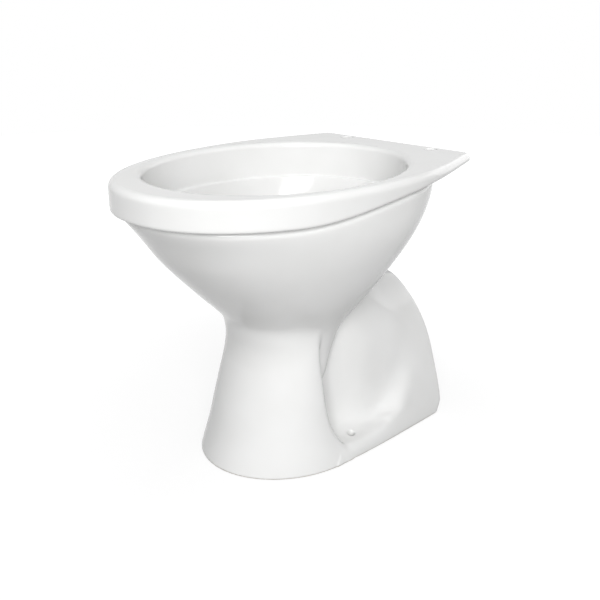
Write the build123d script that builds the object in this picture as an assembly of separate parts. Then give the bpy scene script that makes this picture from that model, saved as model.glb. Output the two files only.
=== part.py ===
"""Floor-standing toilet pan, built from the clay castings that are luted together and fired as one.

Millimetres, +Z up, front towards -Y, origin on the floor under the middle of the overall box.
"""
import os
from math import cos, pi, sin

from build123d import *

os.makedirs("parts", exist_ok=True)

# Overall size
length = 480.0
width = 356.0
height = 400.0

# Rim band and seat deck
band_height = 36.0
rim_wide_y = 34.0
band_fullness = 0.61
ellipse_fullness = 0.5523
deck_half_width = 133.0
deck_edge = 12.0
deck_corner = 10.5
sweep_start_y = -130.0
sweep_low_y = -40.0
sweep_high_y = 0.0
rim_top_round = 9.0
band_lower_round = 4.0
rim_neck_half = 173.5
rim_neck_rear = 210.0
opening_half_width = 153.0
opening_half_length = 185.0
opening_y = -8.0
opening_round = 6.0
rim_outer_wall = 7.5
rim_inner_wall = 6.0
rim_roof = 9.0
rim_floor_thick = 8.0
flush_hole_radius = 2.2
flush_hole_inset = 3.4
flush_hole_count = 26
joint_gap = 0.3

# Seat hinge holes
seat_hole_spacing = 155.0
seat_hole_radius = 7.75
seat_hole_y = 219.0

# Bowl: half width, front, widest station, rear, share of the way up, fullness of the front
bowl_wall = 10.0
bowl_top_wall = 8.0
waist_z = 178.0
bowl_outer = (
    (172.5, -231.0, 37.0, 206.0, 1.0, 0.59),
    (171.0, -210.0, 32.0, 184.0, 0.84, 0.56),
    (161.0, -186.5, 23.0, 157.0, 0.656, 0.552),
    (143.0, -156.0, 14.0, 129.5, 0.468, 0.552),
    (117.0, -121.0, 9.0, 106.5, 0.28, 0.552),
    (96.5, -95.0, 6.0, 92.0, 0.145, 0.552),
    (84.0, -75.5, 4.0, 84.0, 0.0, 0.552),
)
cavity_rear = (198.0, 174.0, 147.0, 118.0, 92.0, 71.0, 44.0)
cavity_waist_half = 60.0
cavity_waist_front = -55.0

# Trap: S-shaped waterway with vertical legs
trap_bore = 37.0
trap_wall = 7.5
trap_bend = 46.5
sump_y = -12.0
dip_z = 87.5
water_seal = 50.0
outlet_top_z = 60.0

# Outlet spigot
outlet_radius = 51.0
outlet_bore = 41.0
outlet_end_z = 8.0
outlet_collar = 5.0

# Flush inlet horn
horn_radius = 27.5
horn_bore = 21.5
horn_z = 334.0
horn_end_y = 236.0
horn_blind_y = 204.0
horn_neck_half = 24.0
horn_slot_half = 18.0
horn_slot_front = 208.0
horn_slot_rear = 219.0
chamber_half = 26.0
chamber_wall = 7.0

# Flush spreader wall inside the rim
spreader_half = 24.0
spreader_thick = 6.0
spreader_y = 198.5
spreader_slot_half = 9.0
spreader_slot_height = 8.0

# Front column: height, half width, front, widest station, half width of the back, back
column_wall = 10.0
column_sections = (
    (0.0, 114.5, -127.0, 5.0, 112.0, 14.0),
    (22.0, 107.0, -118.0, -6.0, 88.0, 14.0),
    (60.0, 97.5, -105.0, -12.0, 66.0, 14.0),
    (118.0, 87.5, -85.0, -15.0, 63.0, 18.0),
    (150.0, 83.5, -74.5, -14.0, 63.0, 29.0),
    (waist_z, 83.5, -75.0, -6.0, 62.0, 50.0),
)
trap_passage_half = 50.0

# Rear casing: station, then half width and height of points from the floor edge to the crown
casing_wall = 10.0
casing_rear_round = 5.0
casing_sections = (
    (0.0, ((114.5, 0), (112, 6), (107, 13), (88, 22), (69, 40), (63, 98), (62, 148), (48, 206), (0, 240))),
    (60.0, ((117, 0), (114, 6), (107, 13), (84, 22), (67, 42), (63, 98), (62, 148), (48, 206), (0, 238))),
    (112.0, ((118.5, 0), (115, 6), (106, 13), (80, 22), (66, 44), (62, 98), (61, 147), (48, 203), (0, 234))),
    (158.0, ((119, 0), (116, 6), (108, 13), (83, 24), (68, 48), (63, 98), (62, 142), (46, 192), (0, 222))),
    (194.0, ((119, 0), (117, 6), (112, 13), (93, 30), (78, 58), (71, 98), (65, 142), (42, 187), (0, 212))),
    (214.0, ((119, 0), (117, 6), (114, 13), (103, 32), (92, 62), (84, 98), (71, 142), (42, 184), (0, 206))),
    (231.0, ((119, 0), (117.5, 6), (115.5, 13), (110, 32), (103, 60), (93, 98), (75, 140), (42, 180), (0, 202))),
)

# Floor-fixing holes in the side ledges
fixing_x = 89.0
fixing_y = 43.0
fixing_radius = 5.5
fixing_depth = 60.0

# Values that follow from the sizes above
half_width = width / 2
half_length = length / 2
rim_z = height - band_height
channel_top = height - rim_roof
trap_outer = trap_bore + trap_wall
bend_inner = trap_bend - trap_bore
lower_bend_z = dip_z + bend_inner
weir_z = dip_z + water_seal
upper_bend_z = weir_z - bend_inner
rising_y = sump_y + 2 * trap_bend
outlet_y = rising_y + 2 * trap_bend


def quarter(start, end, full, start_along_x):
    """Quarter of an oval between two extreme points; full 0.55 is an ellipse, more is squarer."""
    (x0, y0, z), (x1, y1, _) = start, end
    if start_along_x:
        a = (x0 + (x1 - x0) * full, y0, z)
        b = (x1, y1 + (y0 - y1) * full, z)
    else:
        a = (x0, y0 + (y1 - y0) * full, z)
        b = (x1 + (x0 - x1) * full, y1, z)
    return Bezier(start, a, b, end)


def oval(z, half, front, wide, rear, full_front=ellipse_fullness, full_rear=ellipse_fullness):
    """Closed oval at one height from its half width, front, widest and rear stations."""
    right = (half, wide, z)
    left = (-half, wide, z)
    nose = (0, front, z)
    tail = (0, rear, z)
    return Wire([
        quarter(nose, right, full_front, True),
        quarter(right, tail, full_rear, False),
        quarter(tail, left, full_rear, True),
        quarter(left, nose, full_front, False),
    ])


def prism(wire, depth):
    """Straight solid on a closed outline, upward."""
    return extrude(Face(wire), amount=depth, dir=(0, 0, 1))


def rod(x, y, z, radius, depth):
    """Upright round solid standing on z."""
    return Pos(x, y, z + depth / 2) * Cylinder(radius, depth)


def block(x0, x1, y0, y1, z0, z1):
    """Box between two corners."""
    return Pos((x0 + x1) / 2, (y0 + y1) / 2, (z0 + z1) / 2) * Box(x1 - x0, y1 - y0, z1 - z0)


def bowl_height(share):
    """Height of a bowl section from its share of the way from waist to rim."""
    return waist_z + (rim_z - waist_z) * share


def bowl_body(grow=0.0):
    """Solid outside of the bowl from waist to rim."""
    wires = []
    for half, front, wide, rear, share, full in bowl_outer:
        wires.append(oval(bowl_height(share), half + grow, front - grow, wide, rear + grow, full))
    return Solid.make_loft(wires)


def waist_opening(grow):
    """Outline of the space where the bowl turns into the shaft."""
    mid = (cavity_waist_front + cavity_rear[-1]) / 2
    return oval(waist_z, cavity_waist_half + grow, cavity_waist_front - grow, mid,
                cavity_rear[-1] + grow)


def bowl_cavity():
    """Space inside the bowl from waist to rim."""
    wires = []
    for (half, front, wide, _, share, full), back in zip(bowl_outer, cavity_rear):
        wall = bowl_wall if share < 1.0 else bowl_top_wall
        wires.append(oval(bowl_height(share), half - wall, front + wall, wide, back, full))
    wires[-1] = waist_opening(0.0)
    return Solid.make_loft(wires)


def shaft(grow):
    """Narrowing shaft between the waist and the trap."""
    radius = trap_bore + grow
    mid_z = (waist_z + lower_bend_z) / 2
    low = oval(mid_z, radius + 3, sump_y - radius - 3, sump_y, sump_y + radius + 3)
    foot = oval(lower_bend_z, radius, sump_y - radius, sump_y, sump_y + radius)
    return Solid.make_loft([waist_opening(grow), low, foot])


def trap_tube(radius):
    """Round S-shaped solid along the waterway."""
    path = Wire([
        ThreePointArc((0, sump_y, lower_bend_z), (0, sump_y + trap_bend, lower_bend_z - trap_bend),
                      (0, rising_y, lower_bend_z)),
        Line((0, rising_y, lower_bend_z), (0, rising_y, upper_bend_z)),
        ThreePointArc((0, rising_y, upper_bend_z), (0, rising_y + trap_bend, upper_bend_z + trap_bend),
                      (0, outlet_y, upper_bend_z)),
        Line((0, outlet_y, upper_bend_z), (0, outlet_y, outlet_top_z)),
    ])
    return sweep(Plane((0, sump_y, lower_bend_z), z_dir=(0, 0, -1)) * Circle(radius), path=path)


def rim_outline(z):
    """Plan of the rim band and the seat deck."""
    nose = (0, -half_length, z)
    right = (half_width, rim_wide_y, z)
    left = (-half_width, rim_wide_y, z)
    run = half_length - rim_wide_y
    lean = half_width - deck_half_width
    sides = []
    for s in (1, -1):
        sides.append((
            (s * half_width, rim_wide_y, z),
            (s * half_width, rim_wide_y + run * 0.37, z),
            (s * (deck_half_width + lean * 0.47), rim_wide_y + run * 0.675, z),
            (s * deck_half_width, half_length, z),
        ))
    face = Face(Wire([
        quarter(nose, right, band_fullness, True),
        Bezier(*sides[0]),
        Line(sides[0][-1], sides[1][-1]),
        Bezier(*reversed(sides[1])),
        quarter(left, nose, band_fullness, False),
    ]))
    corners = [v for v in face.vertices() if v.Y > half_length - 1]
    return face.fillet_2d(deck_corner, corners)


# Rim: hollow box ring with the seat deck behind it
band = extrude(rim_outline(rim_z), amount=band_height, dir=(0, 0, 1))
band = fillet(band.edges().group_by(Axis.Z)[-1], rim_top_round)
band = fillet(band.edges().group_by(Axis.Z)[0], band_lower_round)
deck_under = height - deck_edge
low_z = rim_z - 1
sweep_side = Face(Wire([
    Bezier((0, sweep_start_y, low_z), (0, sweep_low_y, low_z), (0, sweep_high_y, deck_under),
           (0, half_length + 1, deck_under)),
    Line((0, half_length + 1, deck_under), (0, half_length + 1, low_z)),
    Line((0, half_length + 1, low_z), (0, sweep_start_y, low_z)),
]))
under_deck = extrude(sweep_side, amount=half_width + 2, dir=(1, 0, 0), both=True)
neck_plan = oval(low_z, rim_neck_half, -half_length - 10, rim_wide_y, rim_neck_rear)
band = band - (under_deck - prism(neck_plan, band_height))
band += block(-chamber_half - chamber_wall, chamber_half + chamber_wall, spreader_y,
              horn_slot_rear + chamber_wall, rim_z, deck_under + 1)
opening = prism(oval(rim_z, opening_half_width, opening_y - opening_half_length, opening_y,
                     opening_y + opening_half_length), band_height)
band = band - opening
mouth_edges = [e for e in band.edges().group_by(Axis.Z)[-1]
               if abs(e.center().X) < opening_half_width and abs(e.center().Y) < opening_half_length]
band = fillet(mouth_edges, opening_round)


def channel(grow, z, depth):
    """Flush channel running round inside the rim, with the inlet chamber behind it."""
    outside = prism(oval(z, rim_neck_half - rim_outer_wall + grow, -half_length + 2 * rim_outer_wall - grow,
                         rim_wide_y, rim_neck_rear - rim_outer_wall + grow), depth)
    inside = prism(oval(z, opening_half_width + rim_inner_wall - grow,
                        opening_y - opening_half_length - rim_inner_wall + grow, opening_y,
                        opening_y + opening_half_length + rim_inner_wall - grow), depth)
    chamber = block(-chamber_half - grow, chamber_half + grow, spreader_y, horn_slot_rear + grow,
                    z, z + depth)
    return outside - inside + chamber


rim_ring = band - channel(0.0, rim_z, channel_top - rim_z)
for side in (-1, 1):
    rim_ring -= rod(side * seat_hole_spacing / 2, seat_hole_y, rim_z, seat_hole_radius, band_height)

# Rim floor: perforated plate that closes the channel from below
rim_floor = channel(-joint_gap, rim_z, rim_floor_thick)
for i in range(flush_hole_count):
    turn = 2 * pi * (i + 0.5) / flush_hole_count
    hole_x = (opening_half_width + rim_inner_wall + flush_hole_inset) * sin(turn)
    hole_y = opening_y - (opening_half_length + rim_inner_wall + flush_hole_inset) * cos(turn)
    rim_floor -= rod(hole_x, hole_y, rim_z, flush_hole_radius, rim_floor_thick)
rim_floor -= block(-horn_slot_half, horn_slot_half, horn_slot_front, horn_slot_rear,
                   rim_z, rim_z + rim_floor_thick)

# Spreader: wall in the channel that turns the incoming water to both sides
spreader_z = rim_z + rim_floor_thick
flush_spreader = block(-spreader_half, spreader_half, spreader_y, spreader_y + spreader_thick,
                       spreader_z, channel_top)
flush_spreader -= block(-spreader_slot_half, spreader_slot_half, spreader_y,
                        spreader_y + spreader_thick, spreader_z, spreader_z + spreader_slot_height)

# Bowl with its shaft down to the trap
bowl = bowl_body() + shaft(trap_wall)
bowl = bowl - bowl_cavity() - shaft(0.0)
bowl = bowl - trap_tube(trap_outer + joint_gap)

# Trap: sump bend, rising leg, weir bend and falling leg
trapway = trap_tube(trap_outer) - trap_tube(trap_bore)

# Outlet spigot for the floor connector
outlet_spigot = rod(0, outlet_y, outlet_end_z, outlet_radius, outlet_top_z - outlet_end_z)
outlet_spigot -= rod(0, outlet_y, outlet_end_z, outlet_bore, outlet_top_z - outlet_end_z - outlet_collar)
outlet_spigot -= rod(0, outlet_y, outlet_end_z, trap_bore, outlet_top_z - outlet_end_z)

# Flush inlet horn under the deck
horn_axis = (horn_blind_y + horn_end_y) / 2
horn_front = horn_slot_front - 24
inlet_horn = Pos(0, (horn_front + horn_end_y) / 2, horn_z) * Rot(90, 0, 0) * Cylinder(
    horn_radius, horn_end_y - horn_front)
inlet_horn += block(-horn_neck_half, horn_neck_half, horn_front, horn_slot_rear + 6, horn_z, rim_z)
inlet_horn -= Pos(0, horn_axis, horn_z) * Rot(90, 0, 0) * Cylinder(horn_bore, horn_end_y - horn_blind_y)
inlet_horn -= block(-horn_slot_half, horn_slot_half, horn_slot_front, horn_slot_rear, horn_z, rim_z)
inlet_horn -= bowl_body(joint_gap)


def column_wire(z, half, front, wide, back_half, back, shrink=0.0):
    """D-shaped section: round nose, rounded rear corner, flat back."""
    half = half - shrink
    front = front + shrink
    back = back - shrink
    back_half = back_half - shrink / 2
    wide = wide - shrink / 2
    right = (half, wide, z)
    left = (-half, wide, z)
    right_back = (back_half, back, z)
    left_back = (-back_half, back, z)
    nose = (0, front, z)
    return Wire([
        quarter(nose, right, ellipse_fullness, True),
        quarter(right, right_back, ellipse_fullness, False),
        Line(right_back, left_back),
        quarter(left_back, left, ellipse_fullness, True),
        quarter(left, nose, ellipse_fullness, False),
    ])


# Front column: hollow foot under the bowl, open below and towards the trap
column_back = column_sections[-1][-1]
column_solid = Solid.make_loft([column_wire(*s) for s in column_sections])
column_hollow = Solid.make_loft([column_wire(*s, column_wall) for s in column_sections])
pedestal_column = column_solid - column_hollow
pedestal_column -= block(-trap_passage_half, trap_passage_half, -column_wall, column_back + 1,
                         -1, waist_z + 1)


def arch_wire(y, points):
    """Arched section on a plane of constant y from the points of its right half."""
    right = [(x, y, z) for x, z in points]
    left = [(-x, y, z) for x, _, z in reversed(right[:-1])]
    return Wire([Spline(*right, *left), Line(left[-1], right[0])])


def inner_points(points):
    """Points of the hollow: the wall inside the casing, straight down past the solid ledge."""
    knee, low, mid, shoulder, haunch, crown = points[3:]
    w = casing_wall
    foot = knee[0] - 1.2 * w
    return [(foot, -1), (foot, 4), (foot + 0.04 * w, 9), (knee[0] - w, max(knee[1] - 0.6 * w, 14)),
            (low[0] - w, low[1] - 0.2 * w), (mid[0] - w, mid[1]), (shoulder[0] - w, shoulder[1] - 0.3 * w),
            (haunch[0] - 0.75 * w, haunch[1] - 0.75 * w), (0, crown[1] - w)]


# Rear casing over the trap: arched shell with hollowed sides, open below and behind
casing = Solid.make_loft([arch_wire(y, p) for y, p in casing_sections])
rear_y = casing_sections[-1][0]
rear_edge = [e for e in casing.edges() if e.center().Y > rear_y - 0.1 and e.center().Z > 1]
casing = fillet(rear_edge, casing_rear_round)
hollow = Solid.make_loft([arch_wire(y, inner_points(p)) for y, p in casing_sections])
hollow += block(-trap_passage_half, trap_passage_half, rear_y - 1, rear_y + 1, -1, 100)
column_mask = Solid.make_loft([column_wire(*s, -joint_gap) for s in column_sections])
trap_casing = casing - hollow - bowl_body(joint_gap) - column_mask - trap_tube(trap_outer + joint_gap)
for side in (-1, 1):
    trap_casing -= rod(side * fixing_x, fixing_y, -1, fixing_radius, fixing_depth)

nodes = {
    "rim_ring": rim_ring,
    "rim_floor": rim_floor,
    "flush_spreader": flush_spreader,
    "inlet_horn": inlet_horn,
    "bowl": bowl,
    "trapway": trapway,
    "outlet_spigot": outlet_spigot,
    "pedestal_column": pedestal_column,
    "trap_casing": trap_casing,
}
for name, shape in nodes.items():
    export_step(shape, f"parts/{name}.step")
    size = shape.bounding_box().size
    print(f"{name}: {size.X:.1f} x {size.Y:.1f} x {size.Z:.1f} mm, {shape.volume / 1000:.0f} cm3, "
          f"{len(shape.solids())} solid")
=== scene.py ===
# %% [markdown]
# # A floor-standing toilet pan in white glaze
# This lesson dresses a measured CAD model of a vitreous-china toilet pan. The CAD frame gives every
# length; Blender gives the soft shapes and the glaze. We work in metres in the frame, and do the
# shape sums in millimetres because pottery drawings do.

import math

import bpy
import numpy as np
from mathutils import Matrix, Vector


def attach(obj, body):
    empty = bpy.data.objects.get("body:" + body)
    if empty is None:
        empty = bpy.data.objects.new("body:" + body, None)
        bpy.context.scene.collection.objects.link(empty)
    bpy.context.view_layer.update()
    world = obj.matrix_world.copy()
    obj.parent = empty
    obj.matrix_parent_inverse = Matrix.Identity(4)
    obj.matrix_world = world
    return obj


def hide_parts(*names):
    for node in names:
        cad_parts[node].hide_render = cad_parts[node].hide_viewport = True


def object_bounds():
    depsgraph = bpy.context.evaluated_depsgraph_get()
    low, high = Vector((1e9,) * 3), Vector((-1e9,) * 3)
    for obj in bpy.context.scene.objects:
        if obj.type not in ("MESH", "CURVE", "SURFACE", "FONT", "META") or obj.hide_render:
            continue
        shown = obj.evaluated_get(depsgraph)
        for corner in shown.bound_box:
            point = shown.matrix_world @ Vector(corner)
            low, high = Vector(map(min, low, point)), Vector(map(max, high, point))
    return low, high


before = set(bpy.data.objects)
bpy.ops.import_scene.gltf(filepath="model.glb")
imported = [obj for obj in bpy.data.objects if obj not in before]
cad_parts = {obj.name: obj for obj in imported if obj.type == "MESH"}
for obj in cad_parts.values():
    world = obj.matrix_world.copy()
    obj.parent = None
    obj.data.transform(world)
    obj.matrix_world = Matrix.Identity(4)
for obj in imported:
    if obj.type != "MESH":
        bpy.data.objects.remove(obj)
scene = bpy.context.scene
cad_low, cad_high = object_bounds()
print("castings in the frame:", sorted(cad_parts))
print("overall box in mm:", [round((b - a) * 1000, 1) for a, b in zip(cad_low, cad_high)])

# %% [markdown]
# ## Clay as a field of distances
# A pan is slip-cast in a few plaster moulds, luted together and fired, so every inside corner ends
# up rounded by a wet finger and every outside corner by a sponge. Lofted meshes joined with
# booleans keep hard creases there. Instead we describe the clay by a function that is negative
# inside and positive outside, roughly in millimetres. Two such fields can be joined with a rounded
# groove or cut with a rounded edge, which is what the potter's finger does.

# %% Joining and cutting rules
def sponge_meet(a, b, radius):
    """Where both hold: an outside corner rounded to this radius."""
    inside = np.minimum(np.maximum(a, b), -radius)
    return inside + np.hypot(np.maximum(a + radius, 0), np.maximum(b + radius, 0))


def finger_join(a, b, radius):
    """Where either holds: an inside corner filled to this radius."""
    return -sponge_meet(-a, -b, radius)


def knife_cut(body, tool, radius):
    """Body without the tool, with the new edge rounded."""
    return sponge_meet(body, -tool, radius)


def brick(x, y, z, half, y0, y1, z0, z1):
    """Square block centred on the middle plane."""
    return np.maximum.reduce([np.abs(x) - half, y0 - y, y - y1, z0 - z, z - z1])


print("a square corner sponged to 5 mm sits", round(float(sponge_meet(0.0, 0.0, 5.0)), 2), "mm back")

# %% [markdown]
# Sections were measured at a few heights only. A natural cubic spline runs through them without
# corners, so the glaze will not show where one measured section ends.

# %% A spline through measured stations
def through(stations, values, at):
    """Natural cubic spline through the stations, evaluated at any points."""
    s = np.asarray(stations, float)
    v = np.asarray(values, float).reshape(len(s), -1)
    n = len(s)
    h = np.diff(s)
    system = np.eye(n)
    wanted = np.zeros_like(v)
    for i in range(1, n - 1):
        system[i, i - 1:i + 2] = h[i - 1], 2 * (h[i - 1] + h[i]), h[i]
        wanted[i] = 6 * ((v[i + 1] - v[i]) / h[i] - (v[i] - v[i - 1]) / h[i - 1])
    bend = np.linalg.solve(system, wanted)
    x = np.clip(np.asarray(at, float), s[0], s[-1])
    k = np.clip(np.searchsorted(s, x) - 1, 0, n - 2)
    w = h[k][:, None]
    b = ((x - s[k])[:, None]) / w
    a = 1 - b
    return a * v[k] + b * v[k + 1] + ((a**3 - a) * bend[k] + (b**3 - b) * bend[k + 1]) * w**2 / 6


def table(stations, values, step):
    """The same spline as an evenly spaced table with its first station and its step."""
    ticks = np.arange(stations[0], stations[-1] + step / 2, step)
    return stations[0], step, through(stations, values, ticks)


def look_up(made, at):
    """Columns of a table at many points, straight between its close rows."""
    first, step, rows = made
    place = np.clip((at - first) / step, 0, len(rows) - 1.001)
    k = place.astype(int)
    part = (place - k)[:, None]
    return (rows[k] * (1 - part) + rows[k + 1] * part).T


print("halfway between 0 and 2 on a bent rail:", through([0, 1, 2], [0, 1, 0], [0.5]).round(3).tolist())

# %% [markdown]
# ## Ovals
# Every level of the bowl is an egg: a blunt half ellipse to the front, a shorter one to the back.
# The exponent squares the nose a little where the rim does.

# %% Distance to an egg-shaped outline
def egg(x, y, half, front, wide, rear, blunt):
    """Signed distance, to first order, from an egg-shaped outline."""
    long_side = np.where(y < wide, wide - front, rear - wide)
    power = np.where(y < wide, blunt, 2.0)
    u = np.abs(x) / half + 1e-9
    v = np.abs(y - wide) / long_side + 1e-9
    reach = (u**power + v**power) ** (1 / power)
    across = reach ** (1 - power) * u ** (power - 1) / half
    along = reach ** (1 - power) * v ** (power - 1) / long_side
    return (reach - 1) / np.hypot(across, along)


# %% [markdown]
# ## The bowl
# Outside and inside are two stacks of eggs about 10 mm apart. The lowest outside eggs meet the
# column; the inside runs on as a shaft down to the water trap.

# %% Bowl outside, bowl inside, shaft
bowl_stations = [100, 112, 125, 147, 163, 178, 190, 205, 230, 265, 300, 334.5, 364, 392]
bowl_eggs = [
    (62.0, -58.0, 0.0, 18.0, 2.0),
    (68.0, -60.0, 0.0, 28.0, 2.0),
    (71.0, -62.0, 1.0, 36.0, 2.0),
    (73.0, -65.0, 2.0, 48.0, 2.0),
    (76.0, -67.0, 2.5, 57.0, 2.0),
    (80.0, -74.0, 3.0, 65.5, 2.0),
    (85.0, -80.5, 4.5, 75.0, 2.0),
    (95.0, -91.5, 6.0, 87.5, 2.0),
    (115.0, -116.5, 9.0, 102.5, 2.0),
    (139.5, -152.0, 14.0, 122.5, 2.0),
    (158.5, -184.5, 23.0, 154.0, 2.0),
    (170.5, -210.5, 32.0, 183.0, 2.03),
    (172.8, -231.0, 37.0, 206.0, 2.12),
    (173.4, -233.0, 38.0, 210.0, 2.12),
]
bowl_rows = table(bowl_stations, bowl_eggs, 1.0)
bowl_wall = 10.0
hollow_eggs = [(h - bowl_wall, f + bowl_wall, w, r - bowl_wall, b) for h, f, w, r, b in bowl_eggs]
cavity_rows = table(
    [97, 137.5, 178, 205, 230, 265, 300, 335, 366],
    [
        (37.0, -49.0, -12.0, 25.0, 2.0),
        (40.0, -52.0, -12.0, 28.0, 2.0),
        (58.0, -55.0, -5.5, 44.0, 2.0),
        *hollow_eggs[7:9],
        (123.5, -135.5, 8.0, 114.5, 2.0),
        (138.5, -162.5, 3.0, 142.0, 2.0),
        (148.5, -183.0, -4.0, 165.5, 2.03),
        (153.0, -193.0, -8.0, 177.0, 2.06),
    ],
    1.0,
)
keel_z = 100.0
waist_z = 178.0
rim_z = 364.0
shaft_wall = 7.5


def bowl_outside(x, y, z, groove):
    """Solid outside of the bowl, from its keel behind the column up into the rim."""
    wall = egg(x, y, *look_up(bowl_rows, z)) * 0.85 + groove
    return np.maximum.reduce([wall, keel_z - z, z - 399])


def bowl_inside(x, y, z):
    """Hollow of the bowl and its shaft, up to the underside of the rim."""
    wall = egg(x, y, *look_up(cavity_rows, z)) * 0.85
    return np.maximum(wall, z - rim_z - 4)


def shaft_outside(x, y, z):
    """Outside of the shaft that hangs in the column."""
    wall = egg(x, y, *look_up(cavity_rows, z)) - shaft_wall
    return np.maximum(np.maximum(wall, 97 - z), z - waist_z - 6)


print("bowl is", 2 * 172.8, "mm wide at the rim and", 2 * 80, "mm at the waist")

# %% [markdown]
# ## The column
# The front foot is a hollow D: a round nose that flares to the floor, and a rounded rear corner that
# turns in to meet the rear casing. That corner is what makes the dark groove on each side.

# %% Column outside and inside
column_rows = table(
    [0, 22, 40, 60, 118, 150, 178, 196],
    [
        (114.5, -127.0, 5.0, 24.0, 10.0),
        (107.0, -118.0, -6.0, 12.0, 10.0),
        (101.8, -111.2, -9.5, 0.5, 10.0),
        (97.5, -105.0, -12.0, -6.0, 11.0),
        (87.5, -85.0, -15.0, -10.0, 11.0),
        (83.5, -75.0, -14.0, -12.0, 10.0),
        (83.0, -73.7, -6.0, -12.0, 10.0),
        (83.0, -73.0, 0.0, -12.0, 10.0),
    ],
    1.0,
)


def dee(x, y, rows, wall):
    """Signed distance from the D-shaped section, moved inwards by the wall."""
    half, front, wide, back, corner = rows
    nose = egg(x, np.minimum(y, wide), half - wall, front + wall, wide, wide + 1, 2.0)
    return sponge_meet(nose, y - back + wall, corner)


def column(x, y, z):
    """Solid outside of the front foot."""
    return np.maximum(dee(x, y, look_up(column_rows, z), 0.0) * 0.97, z - 192)


def column_hollow(x, y, z):
    """Space inside the front foot, open to the floor and to the back."""
    space = dee(x, y, look_up(column_rows, z), 10.0)
    passage = brick(x, y, z, 50, -40, 90, -20, 400)
    return np.maximum(np.minimum(space, passage), z - waist_z + 2)


print("column is", 2 * 83.0, "mm wide at the waist and", 2 * 114.5, "mm on the floor")

# %% [markdown]
# ## The rear casing
# Behind the column an arched casing hides the S-shaped trap. Its sides are hollowed like a leaf
# between the column, the flared skirt and the rear arch. Each upright section is drawn as the
# distance from one point near the floor at every angle, so the skirt and the arch are one curve.

# %% Casing sections
casing_points = {
    0: [(112, 0), (110.5, 7), (107, 14), (102, 18), (95, 19.5), (86, 21), (77, 25), (68, 33), (61.5, 47),
        (58, 70), (56.5, 98), (56, 148), (46, 206), (0, 240)],
    35: [(116.5, 0), (115.5, 7), (113, 14), (108, 18.5), (99, 20), (88, 21), (78, 24.5), (70, 31), (63.5, 43),
         (59.8, 66), (58, 98), (57.5, 148), (47, 206), (0, 239)],
    60: [(117.5, 0), (116.6, 7), (114.3, 14), (110, 19), (102, 21), (92, 22), (84, 25), (77.5, 31), (73, 41),
         (70, 56), (68.2, 74), (67.5, 98), (66, 146), (49, 205), (0, 238)],
    82: [(118.2, 0), (117.3, 7), (115.2, 15), (111.5, 21), (104, 23.5), (96, 24.5), (89, 27), (84, 33),
         (80.8, 42), (78.5, 56), (77.2, 74), (76.5, 98), (73, 145), (50, 203), (0, 236.5)],
    108: [(118.6, 0), (117.8, 7), (115.6, 16), (112, 25), (106, 30), (99, 32.5), (93, 36), (89, 42), (86.5, 51),
          (84.6, 64), (83.3, 80), (82.5, 98), (77, 142), (49, 201), (0, 234)],
    135: [(118.9, 0), (118, 7), (115.8, 17), (112, 31), (108, 42), (103, 50), (98, 56), (94, 63), (91, 72),
          (88.6, 84), (87.2, 98), (79, 140), (48, 197), (0, 229)],
    158: [(119, 0), (118, 7), (116, 17), (112, 33), (107, 51), (102.5, 65), (98.5, 75), (94.5, 84), (91, 95),
          (88.8, 103), (80, 138), (46, 191), (0, 222)],
    176: [(119, 0), (118, 7), (116, 17), (112, 33), (106.5, 55), (101.5, 72), (97, 84), (93, 95), (89.5, 106),
          (79, 138), (44, 188), (0, 217)],
    194: [(119, 0), (118, 7), (116, 17), (112, 34), (106.3, 56), (100.8, 75), (93.3, 97), (78, 138), (43, 185),
          (0, 212)],
    214: [(119, 0), (118, 7), (116.2, 16), (112, 34), (106, 57), (100.4, 76), (93.6, 98), (76.5, 139),
          (42, 182), (0, 206)],
    231: [(119, 0), (118, 7), (116.2, 16), (112, 34), (105.6, 58), (99.8, 77), (93.6, 98), (75, 140), (42, 180),
          (0, 202)],
}
casing_hollow_points = {
    0: [(76, -1), (76, 4), (74, 9), (58, 16), (51, 32), (47, 98), (46, 145), (37, 196), (0, 230)],
    35: [(73, -1), (73, 4), (71, 8), (59, 15), (52, 32), (48, 98), (47, 145), (38, 196), (0, 229)],
    60: [(74, -1), (74, 4), (73, 7), (66, 14), (61, 32), (57, 98), (55, 142), (39, 195), (0, 228)],
    82: [(80, -1), (80, 3), (79, 6), (75, 13), (70, 32), (66, 98), (62, 140), (39, 193), (0, 226)],
    108: [(84, -1), (84, 3), (84, 7), (81, 15), (76, 34), (72, 98), (66, 136), (39, 190), (0, 223)],
    158: [(96, -1), (96, 4), (95, 10), (90, 25), (84, 50), (79, 98), (68, 132), (36, 180), (0, 211)],
    194: [(98, -1), (98, 4), (98, 9), (96, 25), (90, 55), (82, 98), (67, 132), (34, 175), (0, 201)],
    231: [(98, -1), (98, 4), (98, 9), (97, 24), (92, 56), (82, 98), (64, 136), (34, 172), (0, 192)],
}
casing_rear = 231.0
eye_z = 0.0


def spokes(points):
    """Distance from the eye to the arch at every quarter of a degree, from straight down to straight up."""
    right = np.array(points, float)
    whole = np.vstack([right, right[-2::-1] * (-1, 1)])
    run = np.r_[0, np.cumsum(np.hypot(*np.diff(whole, axis=0).T))]
    line = through(run, whole, np.linspace(0, run[-1] / 2, 1500))
    angle = np.degrees(np.arctan2(line[:, 1] - eye_z, line[:, 0]))
    reach = np.hypot(line[:, 0], line[:, 1] - eye_z)
    order = np.argsort(angle)
    return np.interp(np.arange(-90, 90.125, 0.25), angle[order], reach[order])


def fan(sections):
    """Table of spoke lengths at every millimetre of depth."""
    return table(list(sections), [spokes(points) for points in sections.values()], 1.0)[2]


outer_fan = fan(casing_points)
inner_fan = fan(casing_hollow_points)


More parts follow.
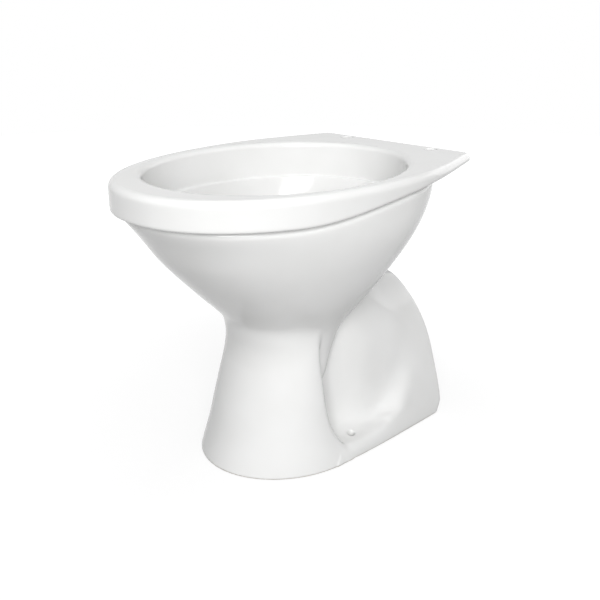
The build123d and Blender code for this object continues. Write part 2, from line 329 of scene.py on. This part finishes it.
def arch(x, y, z, spread):
    """Signed distance from the arched section at each depth."""
    turn = np.degrees(np.arctan2(z - eye_z, np.abs(x)))
    reach = np.hypot(x, z - eye_z)
    i = np.clip(y, 0, len(spread) - 1.001)
    j = np.clip((turn + 90) * 4, 0, spread.shape[1] - 1.001)
    a, b = i.astype(int), j.astype(int)
    s, t = i - a, j - b
    edge = (spread[a, b] * (1 - s) * (1 - t) + spread[a + 1, b] * s * (1 - t)
            + spread[a, b + 1] * (1 - s) * t + spread[a + 1, b + 1] * s * t)
    lean = (spread[a, b + 1] - spread[a, b]) / math.radians(0.25) / edge
    return (reach - edge) / np.sqrt(1 + lean**2)


def casing(x, y, z):
    """Solid outside of the rear casing, from inside the column to the rear arch."""
    begin = np.interp(z, (0, 14, 60), (-12, 0, -40))
    section = np.maximum(arch(x, y, z, outer_fan), begin - y)
    return sponge_meet(section, y - casing_rear, np.interp(z, (0, 6, 16, 30), (26, 20, 10, 8)))


def casing_hollow(x, y, z):
    """Space behind the casing wall, open at the back and below."""
    return np.maximum(np.maximum(arch(x, y, z, inner_fan), 6 - y), z - 240)


print("casing fans:", outer_fan.shape, inner_fan.shape)

# %% [markdown]
# ## The rim and the seat deck
# The rim is a hollow box that carries the flush water. From outside it is a band 36 mm deep at the
# front whose lower edge sweeps up until only a thin deck is left at the back corners. Its plan is an
# egg in front and two gently bent sides behind.

# %% Rim band
def bend(a, b, c, d, count=160):
    """Points on a cubic curve with these four handles."""
    t = np.linspace(0, 1, count)[:, None]
    a, b, c, d = (np.array(p, float) for p in (a, b, c, d))
    return (1 - t) ** 3 * a + 3 * (1 - t) ** 2 * t * b + 3 * (1 - t) * t**2 * c + t**3 * d


half_length, half_width, deck_half = 240.0, 178.0, 133.0
deck_under = 388.0
side_line = bend((178, 34), (178, 110.22), (154.15, 173.05), (133, 240))
sweep_line = bend((-130, 363), (-40, 363), (0, deck_under), (241, deck_under))


def band_plan(x, y):
    """Signed distance from the plan of the rim and the deck."""
    nose = egg(x, y, half_width, -half_length, 34.0, 300.0, 2.19)
    side = np.interp(y, side_line[:, 1], side_line[:, 0])
    lean = np.gradient(side_line[:, 0], side_line[:, 1])
    square = 1 / np.sqrt(1 + np.interp(y, side_line[:, 1], lean) ** 2)
    flank = sponge_meet((np.abs(x) - side) * square, y - half_length, 10.5)
    return np.where(y < 34, nose, flank)


def opening(x, y):
    """Signed distance from the mouth of the bowl."""
    return egg(x, y, 153.0, -193.0, -8.0, 177.0, 2.06)


def band(x, y, z):
    """Rim band and deck: rounded above, crisp below."""
    plan = band_plan(x, y)
    lower = np.interp(y, sweep_line[:, 0], sweep_line[:, 1])
    solid = sponge_meet(plan, z - 400, 9.5)
    return sponge_meet(solid, lower - z, 3.8)


def channel(x, y, z):
    """Flush channel inside the rim, open below for its perforated floor."""
    outer = egg(x, y, 166.0, -225.0, 34.0, 202.5, 2.06)
    inner = -egg(x, y, 159.0, -199.0, -8.0, 183.0, 2.06)
    narrow = 60 - np.abs(y + 67)
    ring = np.maximum.reduce([outer, inner, narrow])
    chamber = brick(x, y, z, 26, 198.5, 219, 300, 400)
    return np.maximum.reduce([np.minimum(ring, chamber), rim_z - z, z - 391])


print("band is", 400 - 363, "mm deep in front and", 400 - deck_under, "mm at the back corners")

# %% [markdown]
# ## The whole body
# The castings are joined in the order the potter would: bowl on column, casing behind, rim on top.
# Then the hollows, the mouth and the screw holes are cut. The radii are the finger and sponge marks.

# %% One field for the fired piece
seat_hole = (77.5, 219.0, 7.75)
floor_hole = (89.0, 43.0, 5.5)


def peg(x, y, place):
    """Upright round tool on both sides of the middle plane."""
    return np.hypot(np.abs(x) - place[0], y - place[1]) - place[2]


def pan(points):
    """Signed distance from the glazed body at many points, in millimetres."""
    x, y, z = points.T
    below_band = np.interp(y, sweep_line[:, 0], sweep_line[:, 1]) - z
    bowl = bowl_outside(x, y, z, 4.6 * np.exp(-((below_band / 5.0) ** 2)))
    body = finger_join(column(x, y, z), bowl, np.interp(y, (-50, -15), (14, 5)))
    rear = casing(x, y, z)
    body = finger_join(body, rear, np.interp(z, (150, 190), (5, 1.5)))
    seam = np.hypot(bowl, rear) - np.interp(z, (165, 195), (0, 3.2))
    body = knife_cut(body, seam, 0.8)
    body = np.minimum(body, brick(x, y, z, 33, 196, 226, 364, 396))
    body = finger_join(body, band(x, y, z), 0.9)
    mouth = np.maximum(opening(x, y), 350 - z)
    body = knife_cut(body, mouth, 9.0)
    behind = np.maximum(casing_hollow(x, y, z), -bowl)
    body = knife_cut(body, np.minimum(column_hollow(x, y, z), behind), 1.5)
    body = np.minimum(body, shaft_outside(x, y, z))
    body = np.maximum(body, -bowl_inside(x, y, z))
    body = np.maximum(body, -channel(x, y, z))
    body = knife_cut(body, np.maximum(peg(x, y, seat_hole), 380 - z), 1.6)
    body = knife_cut(body, np.maximum(peg(x, y, floor_hole), z - 60), 1.4)
    return sponge_meet(body, -z, 1.6)


# %% [markdown]
# ## From the field to a mesh
# Blender's metaballs and voxel remesher both make a skin from a volume, but neither follows our own
# field exactly. A surface net does: one point in every small cube that the surface crosses, one
# quad across every cube edge that it cuts, and then each point slides along the field's slope until
# it sits on the surface. Only cubes near the surface are filled in, so it takes seconds.

# %% Surface net
cell = 2.0


def near_surface(field, low, high, step, coarse):
    """Field on a fine grid, exact near the surface and filled in roughly elsewhere."""
    big = step * coarse
    count = np.ceil((high - low) / big).astype(int) + 1
    ticks = [low[k] + big * np.arange(count[k]) for k in range(3)]
    rough = np.stack(np.meshgrid(*ticks, indexing="ij"), -1).reshape(-1, 3)
    value = field(rough).reshape(count)
    fine = value.astype(np.float32)
    for k in range(3):
        fine = np.repeat(fine, coarse, axis=k)
    close = np.abs(fine) < big * 1.9
    index = np.argwhere(close)
    offset = (coarse - 1) / 2 * step
    base = low - offset
    for start in range(0, len(index), 400000):
        part = index[start:start + 400000]
        fine[tuple(part.T)] = field(base + part * step)
    return fine, base


def net(grid, base, step):
    """Points and quads of the surface net, before they are slid onto the surface."""
    solid = grid < 0
    shape = np.array(grid.shape)
    corners = [(i, j, k) for i in (0, 1) for j in (0, 1) for k in (0, 1)]
    part = tuple(slice(0, s - 1) for s in shape)
    crowd = sum(solid[tuple(slice(c[k], shape[k] - 1 + c[k]) for k in range(3))].astype(np.int8)
                for c in corners)
    crossed = (crowd > 0) & (crowd < 8)
    cells = np.argwhere(crossed)
    number = np.full(crossed.shape, -1, np.int32)
    number[tuple(cells.T)] = np.arange(len(cells))
    total = np.zeros((len(cells), 3))
    hits = np.zeros((len(cells), 1))
    for a in corners:
        for axis in range(3):
            if a[axis]:
                continue
            b = list(a)
            b[axis] = 1
            fa = grid[tuple((cells + a).T)].astype(float)
            fb = grid[tuple((cells + b).T)].astype(float)
            cut = (fa < 0) != (fb < 0)
            t = np.where(cut, fa / np.where(cut, fa - fb, 1), 0)
            spot = np.array(a, float) + 0 * cells
            spot[:, axis] += t
            total += np.where(cut[:, None], spot, 0)
            hits += cut[:, None]
    points = base + (cells + total / hits) * step
    quads = []
    for axis in range(3):
        u, v = (axis + 1) % 3, (axis + 2) % 3
        ahead = np.moveaxis(solid, axis, 0)
        flip = np.argwhere(np.moveaxis(ahead[1:] != ahead[:-1], 0, axis))
        flip = flip[(flip[:, u] > 0) & (flip[:, v] > 0)]
        flip = flip[(flip[:, u] < shape[u] - 1) & (flip[:, v] < shape[v] - 1)]
        ring = []
        for du, dv in ((0, 0), (1, 0), (1, 1), (0, 1)):
            c = flip.copy()
            c[:, u] -= du
            c[:, v] -= dv
            ring.append(number[tuple(c.T)])
        quad = np.stack(ring, 1)
        outward = solid[tuple(flip.T)]
        quad[~outward] = quad[~outward][:, ::-1]
        quads.append(quad)
    return points, np.concatenate(quads)


def slide(field, points, step, rounds=2):
    """Move points along the field's slope until they lie on the surface."""
    nudge = step * 0.2
    for _ in range(rounds):
        slope = np.stack([
            field(points + nudge * axis) - field(points - nudge * axis) for axis in np.eye(3)
        ], 1) / (2 * nudge)
        slope /= np.maximum((slope**2).sum(1), 0.2)[:, None]
        for _ in range(2):
            move = -field(points)[:, None] * slope
            points = points + np.clip(move, -0.5 * step, 0.5 * step)
    return points


low = np.array(cad_low) * 1000 - 8.13
high = np.array(cad_high) * 1000 + 8.0
grid, base = near_surface(pan, low, high, cell, 4)
points, quads = net(grid, base, cell)
points = slide(pan, points, cell)
print("surface net:", len(points), "points,", len(quads), "quads")

# %% Make the glazed body
def make_piece(name, points_mm, faces):
    """New mesh object from points in millimetres, riding on the frame."""
    mesh = bpy.data.meshes.new(name)
    mesh.from_pydata((np.asarray(points_mm) / 1000).tolist(), [], np.asarray(faces).tolist())
    mesh.validate()
    mesh.shade_smooth()
    piece = bpy.data.objects.new(name, mesh)
    scene.collection.objects.link(piece)
    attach(piece, "root")
    return piece


glazed_body = make_piece("glazed_body", points, quads)
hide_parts("rim_ring", "bowl", "pedestal_column", "trap_casing")
print("glazed body box:", [round(v * 1000, 1) for v in glazed_body.dimensions])

# %% [markdown]
# ## The glaze
# Sanitary glaze is a thick, slightly milky glass over off-white china. It is nearly flat in colour;
# what the eye reads is its gloss, a very soft waviness left by spraying, and tiny dust nibs. The
# foot ring was wiped clean before firing, so the clay there is dull and a little warmer.

# %% Glaze material
def link(tree, a, b):
    """Join two sockets."""
    tree.links.new(a, b)


def add(tree, kind, **values):
    """New shader node with its settings or input values."""
    node = tree.nodes.new(kind)
    for key, value in values.items():
        if hasattr(node, key):
            setattr(node, key, value)
        else:
            node.inputs[key.replace("_", " ")].default_value = value
    return node


def make_glaze():
    """White sanitary glaze, with a bare foot ring where the piece meets the floor."""
    material = bpy.data.materials.new("white_glaze")
    material.use_nodes = True
    tree = material.node_tree
    shader = tree.nodes["Principled BSDF"]
    shader.inputs["IOR"].default_value = 1.5
    shader.inputs["Specular IOR Level"].default_value = 0.3
    place = add(tree, "ShaderNodeTexCoord").outputs["Object"]
    cloud = add(tree, "ShaderNodeTexNoise", Scale=9.0, Detail=3.0, Roughness=0.5)
    link(tree, place, cloud.inputs["Vector"])
    tint = add(tree, "ShaderNodeValToRGB")
    tint.color_ramp.elements[0].position = 0.3
    tint.color_ramp.elements[0].color = (0.80, 0.80, 0.79, 1)
    tint.color_ramp.elements[1].position = 0.7
    tint.color_ramp.elements[1].color = (0.84, 0.84, 0.835, 1)
    link(tree, cloud.outputs["Fac"], tint.inputs["Fac"])
    height = add(tree, "ShaderNodeSeparateXYZ")
    link(tree, place, height.inputs["Vector"])
    ragged = add(tree, "ShaderNodeTexNoise", Scale=160.0, Detail=2.0)
    link(tree, place, ragged.inputs["Vector"])
    edge = add(tree, "ShaderNodeMath", operation="MULTIPLY_ADD")
    link(tree, ragged.outputs["Fac"], edge.inputs[0])
    edge.inputs[1].default_value = 0.0012
    link(tree, height.outputs["Z"], edge.inputs[2])
    bare = add(tree, "ShaderNodeMapRange")
    bare.inputs["From Min"].default_value = 0.0014
    bare.inputs["From Max"].default_value = 0.0024
    bare.inputs["To Min"].default_value = 1.0
    bare.inputs["To Max"].default_value = 0.0
    link(tree, edge.outputs["Value"], bare.inputs["Value"])
    colour = add(tree, "ShaderNodeMix", data_type="RGBA")
    link(tree, bare.outputs["Result"], colour.inputs[0])
    link(tree, tint.outputs["Color"], colour.inputs[6])
    colour.inputs[7].default_value = (0.66, 0.62, 0.55, 1)
    link(tree, colour.outputs[2], shader.inputs["Base Color"])
    gloss = add(tree, "ShaderNodeMapRange")
    gloss.inputs["To Min"].default_value = 0.10
    gloss.inputs["To Max"].default_value = 0.17
    link(tree, cloud.outputs["Fac"], gloss.inputs["Value"])
    rough = add(tree, "ShaderNodeMix", data_type="FLOAT")
    link(tree, bare.outputs["Result"], rough.inputs[0])
    link(tree, gloss.outputs["Result"], rough.inputs[2])
    rough.inputs[3].default_value = 0.75
    link(tree, rough.outputs[0], shader.inputs["Roughness"])
    wave = add(tree, "ShaderNodeTexNoise", Scale=38.0, Detail=1.0, Roughness=0.4)
    link(tree, place, wave.inputs["Vector"])
    ripple = add(tree, "ShaderNodeBump", Strength=0.25, Distance=0.0004)
    link(tree, wave.outputs["Fac"], ripple.inputs["Height"])
    nibs = add(tree, "ShaderNodeTexVoronoi", Scale=55.0, Randomness=1.0)
    link(tree, place, nibs.inputs["Vector"])
    speck = add(tree, "ShaderNodeMapRange")
    speck.inputs["From Min"].default_value = 0.0
    speck.inputs["From Max"].default_value = 0.045
    speck.inputs["To Min"].default_value = 1.0
    speck.inputs["To Max"].default_value = 0.0
    link(tree, nibs.outputs["Distance"], speck.inputs["Value"])
    dust = add(tree, "ShaderNodeBump", Strength=0.2, Distance=0.0002)
    link(tree, speck.outputs["Result"], dust.inputs["Height"])
    link(tree, ripple.outputs["Normal"], dust.inputs["Normal"])
    link(tree, dust.outputs["Normal"], shader.inputs["Normal"])
    return material


glaze = make_glaze()
glazed_body.data.materials.append(glaze)
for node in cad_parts.values():
    for place in node.material_slots:
        place.link = "OBJECT"
        place.material = glaze
print("glazed:", glaze.name, {name: len(node.material_slots) for name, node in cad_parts.items()})

# %% [markdown]
# ## Light, floor and camera
# The catalogue picture is a white cut-out. A pale floor and a world that is white only to the camera
# give the same ground without pouring more light on the glaze.

# %% Floor and world
def seen_as_ground(tree):
    """One for rays that look at the ground directly, in the gloss or through glass."""
    rays = add(tree, "ShaderNodeLightPath")
    either = add(tree, "ShaderNodeMath", operation="MAXIMUM")
    link(tree, rays.outputs["Is Camera Ray"], either.inputs[0])
    link(tree, rays.outputs["Is Glossy Ray"], either.inputs[1])
    all_three = add(tree, "ShaderNodeMath", operation="MAXIMUM")
    link(tree, either.outputs[0], all_three.inputs[0])
    link(tree, rays.outputs["Is Transmission Ray"], all_three.inputs[1])
    return all_three.outputs[0]


def white_ground():
    """Round floor that looks white but for the soft shadow around the foot."""
    mesh = bpy.data.meshes.new("studio_floor")
    ring = [(3 * math.cos(t), 3 * math.sin(t), 0) for t in np.linspace(0, 2 * math.pi, 64, endpoint=False)]
    mesh.from_pydata(ring, [], [tuple(range(64))])
    floor = bpy.data.objects.new("studio_floor", mesh)
    scene.collection.objects.link(floor)
    floor.location.z = -0.0005
    material = bpy.data.materials.new("pale_floor")
    material.use_nodes = True
    tree = material.node_tree
    shader = tree.nodes["Principled BSDF"]
    shader.inputs["Base Color"].default_value = (0.24, 0.24, 0.24, 1)
    shader.inputs["Roughness"].default_value = 0.9
    place = add(tree, "ShaderNodeTexCoord").outputs["Object"]
    away = add(tree, "ShaderNodeVectorMath", operation="LENGTH")
    link(tree, place, away.inputs[0])
    lift = add(tree, "ShaderNodeMapRange", interpolation_type="SMOOTHSTEP")
    for name, value in (("From Min", 0.25), ("From Max", 1.1), ("To Min", 0.78), ("To Max", 1.0)):
        lift.inputs[name].default_value = value
    link(tree, away.outputs["Value"], lift.inputs["Value"])
    glow = add(tree, "ShaderNodeEmission")
    link(tree, lift.outputs["Result"], glow.inputs["Strength"])
    both = add(tree, "ShaderNodeAddShader")
    link(tree, shader.outputs[0], both.inputs[0])
    link(tree, glow.outputs[0], both.inputs[1])
    only = add(tree, "ShaderNodeMixShader")
    link(tree, seen_as_ground(tree), only.inputs[0])
    link(tree, shader.outputs[0], only.inputs[1])
    link(tree, both.outputs[0], only.inputs[2])
    link(tree, only.outputs[0], tree.nodes["Material Output"].inputs["Surface"])
    mesh.materials.append(material)
    return floor


def studio_world():
    """Dim surround for the light, white for the eye and the gloss."""
    world = bpy.data.worlds.new("studio")
    world.use_nodes = True
    tree = world.node_tree
    back = tree.nodes["Background"]
    back.inputs["Color"].default_value = (0.98, 0.99, 1.0, 1)
    back.inputs["Strength"].default_value = 0.16
    seen = add(tree, "ShaderNodeBackground", Strength=1.0)
    seen.inputs["Color"].default_value = (1, 1, 1, 1)
    only = add(tree, "ShaderNodeMixShader")
    link(tree, seen_as_ground(tree), only.inputs[0])
    link(tree, back.outputs[0], only.inputs[1])
    link(tree, seen.outputs[0], only.inputs[2])
    link(tree, only.outputs[0], tree.nodes["World Output"].inputs["Surface"])
    scene.world = world


white_ground()
studio_world()
scene.view_settings.view_transform = "Standard"
print("ground and surround are set")

# %% Soft lamps
from mathutils import Vector


def softbox(name, place, aim, width, height, power):
    """Rectangular lamp that looks at a point."""
    data = bpy.data.lights.new(name, "AREA")
    data.shape = "RECTANGLE"
    data.size, data.size_y, data.energy = width, height, power
    lamp = bpy.data.objects.new(name, data)
    lamp.location = place
    lamp.rotation_euler = (Vector(aim) - Vector(place)).to_track_quat("-Z", "Y").to_euler()
    scene.collection.objects.link(lamp)
    return lamp


def around(turn, rise, distance):
    """Place on a sphere about the pan: turn from the front to its right side, rise from the floor."""
    a, e = math.radians(turn), math.radians(rise)
    return distance * math.sin(a) * math.cos(e), -distance * math.cos(a) * math.cos(e), 0.2 + distance * math.sin(e)


softbox("key_front_right", around(45, 25, 2.4), (0, 0, 0.22), 1.2, 1.2, 50)
softbox("side_right", around(85, 25, 2.4), (0, 0, 0.22), 1.4, 1.4, 4)
softbox("fill_front_left", around(-40, 30, 2.4), (0, 0, 0.22), 1.4, 1.4, 5.5)
softbox("fill_above", (0, 0, 2.4), (0, 0, 0.22), 1.6, 1.6, 13)
softbox("fill_back", around(178, 15, 2.4), (0, 0, 0.22), 1.4, 1.4, 8)

# %% Camera
camera_data = bpy.data.cameras.new("catalogue_camera")
camera_data.sensor_width = 36
camera_data.lens = 51.47
camera = bpy.data.objects.new("catalogue_camera", camera_data)
camera.location = (0.7774, -0.7922, 0.6137)
camera.rotation_euler = (math.radians(90 - 19.95), 0, math.radians(43.33))
scene.collection.objects.link(camera)
scene.camera = camera
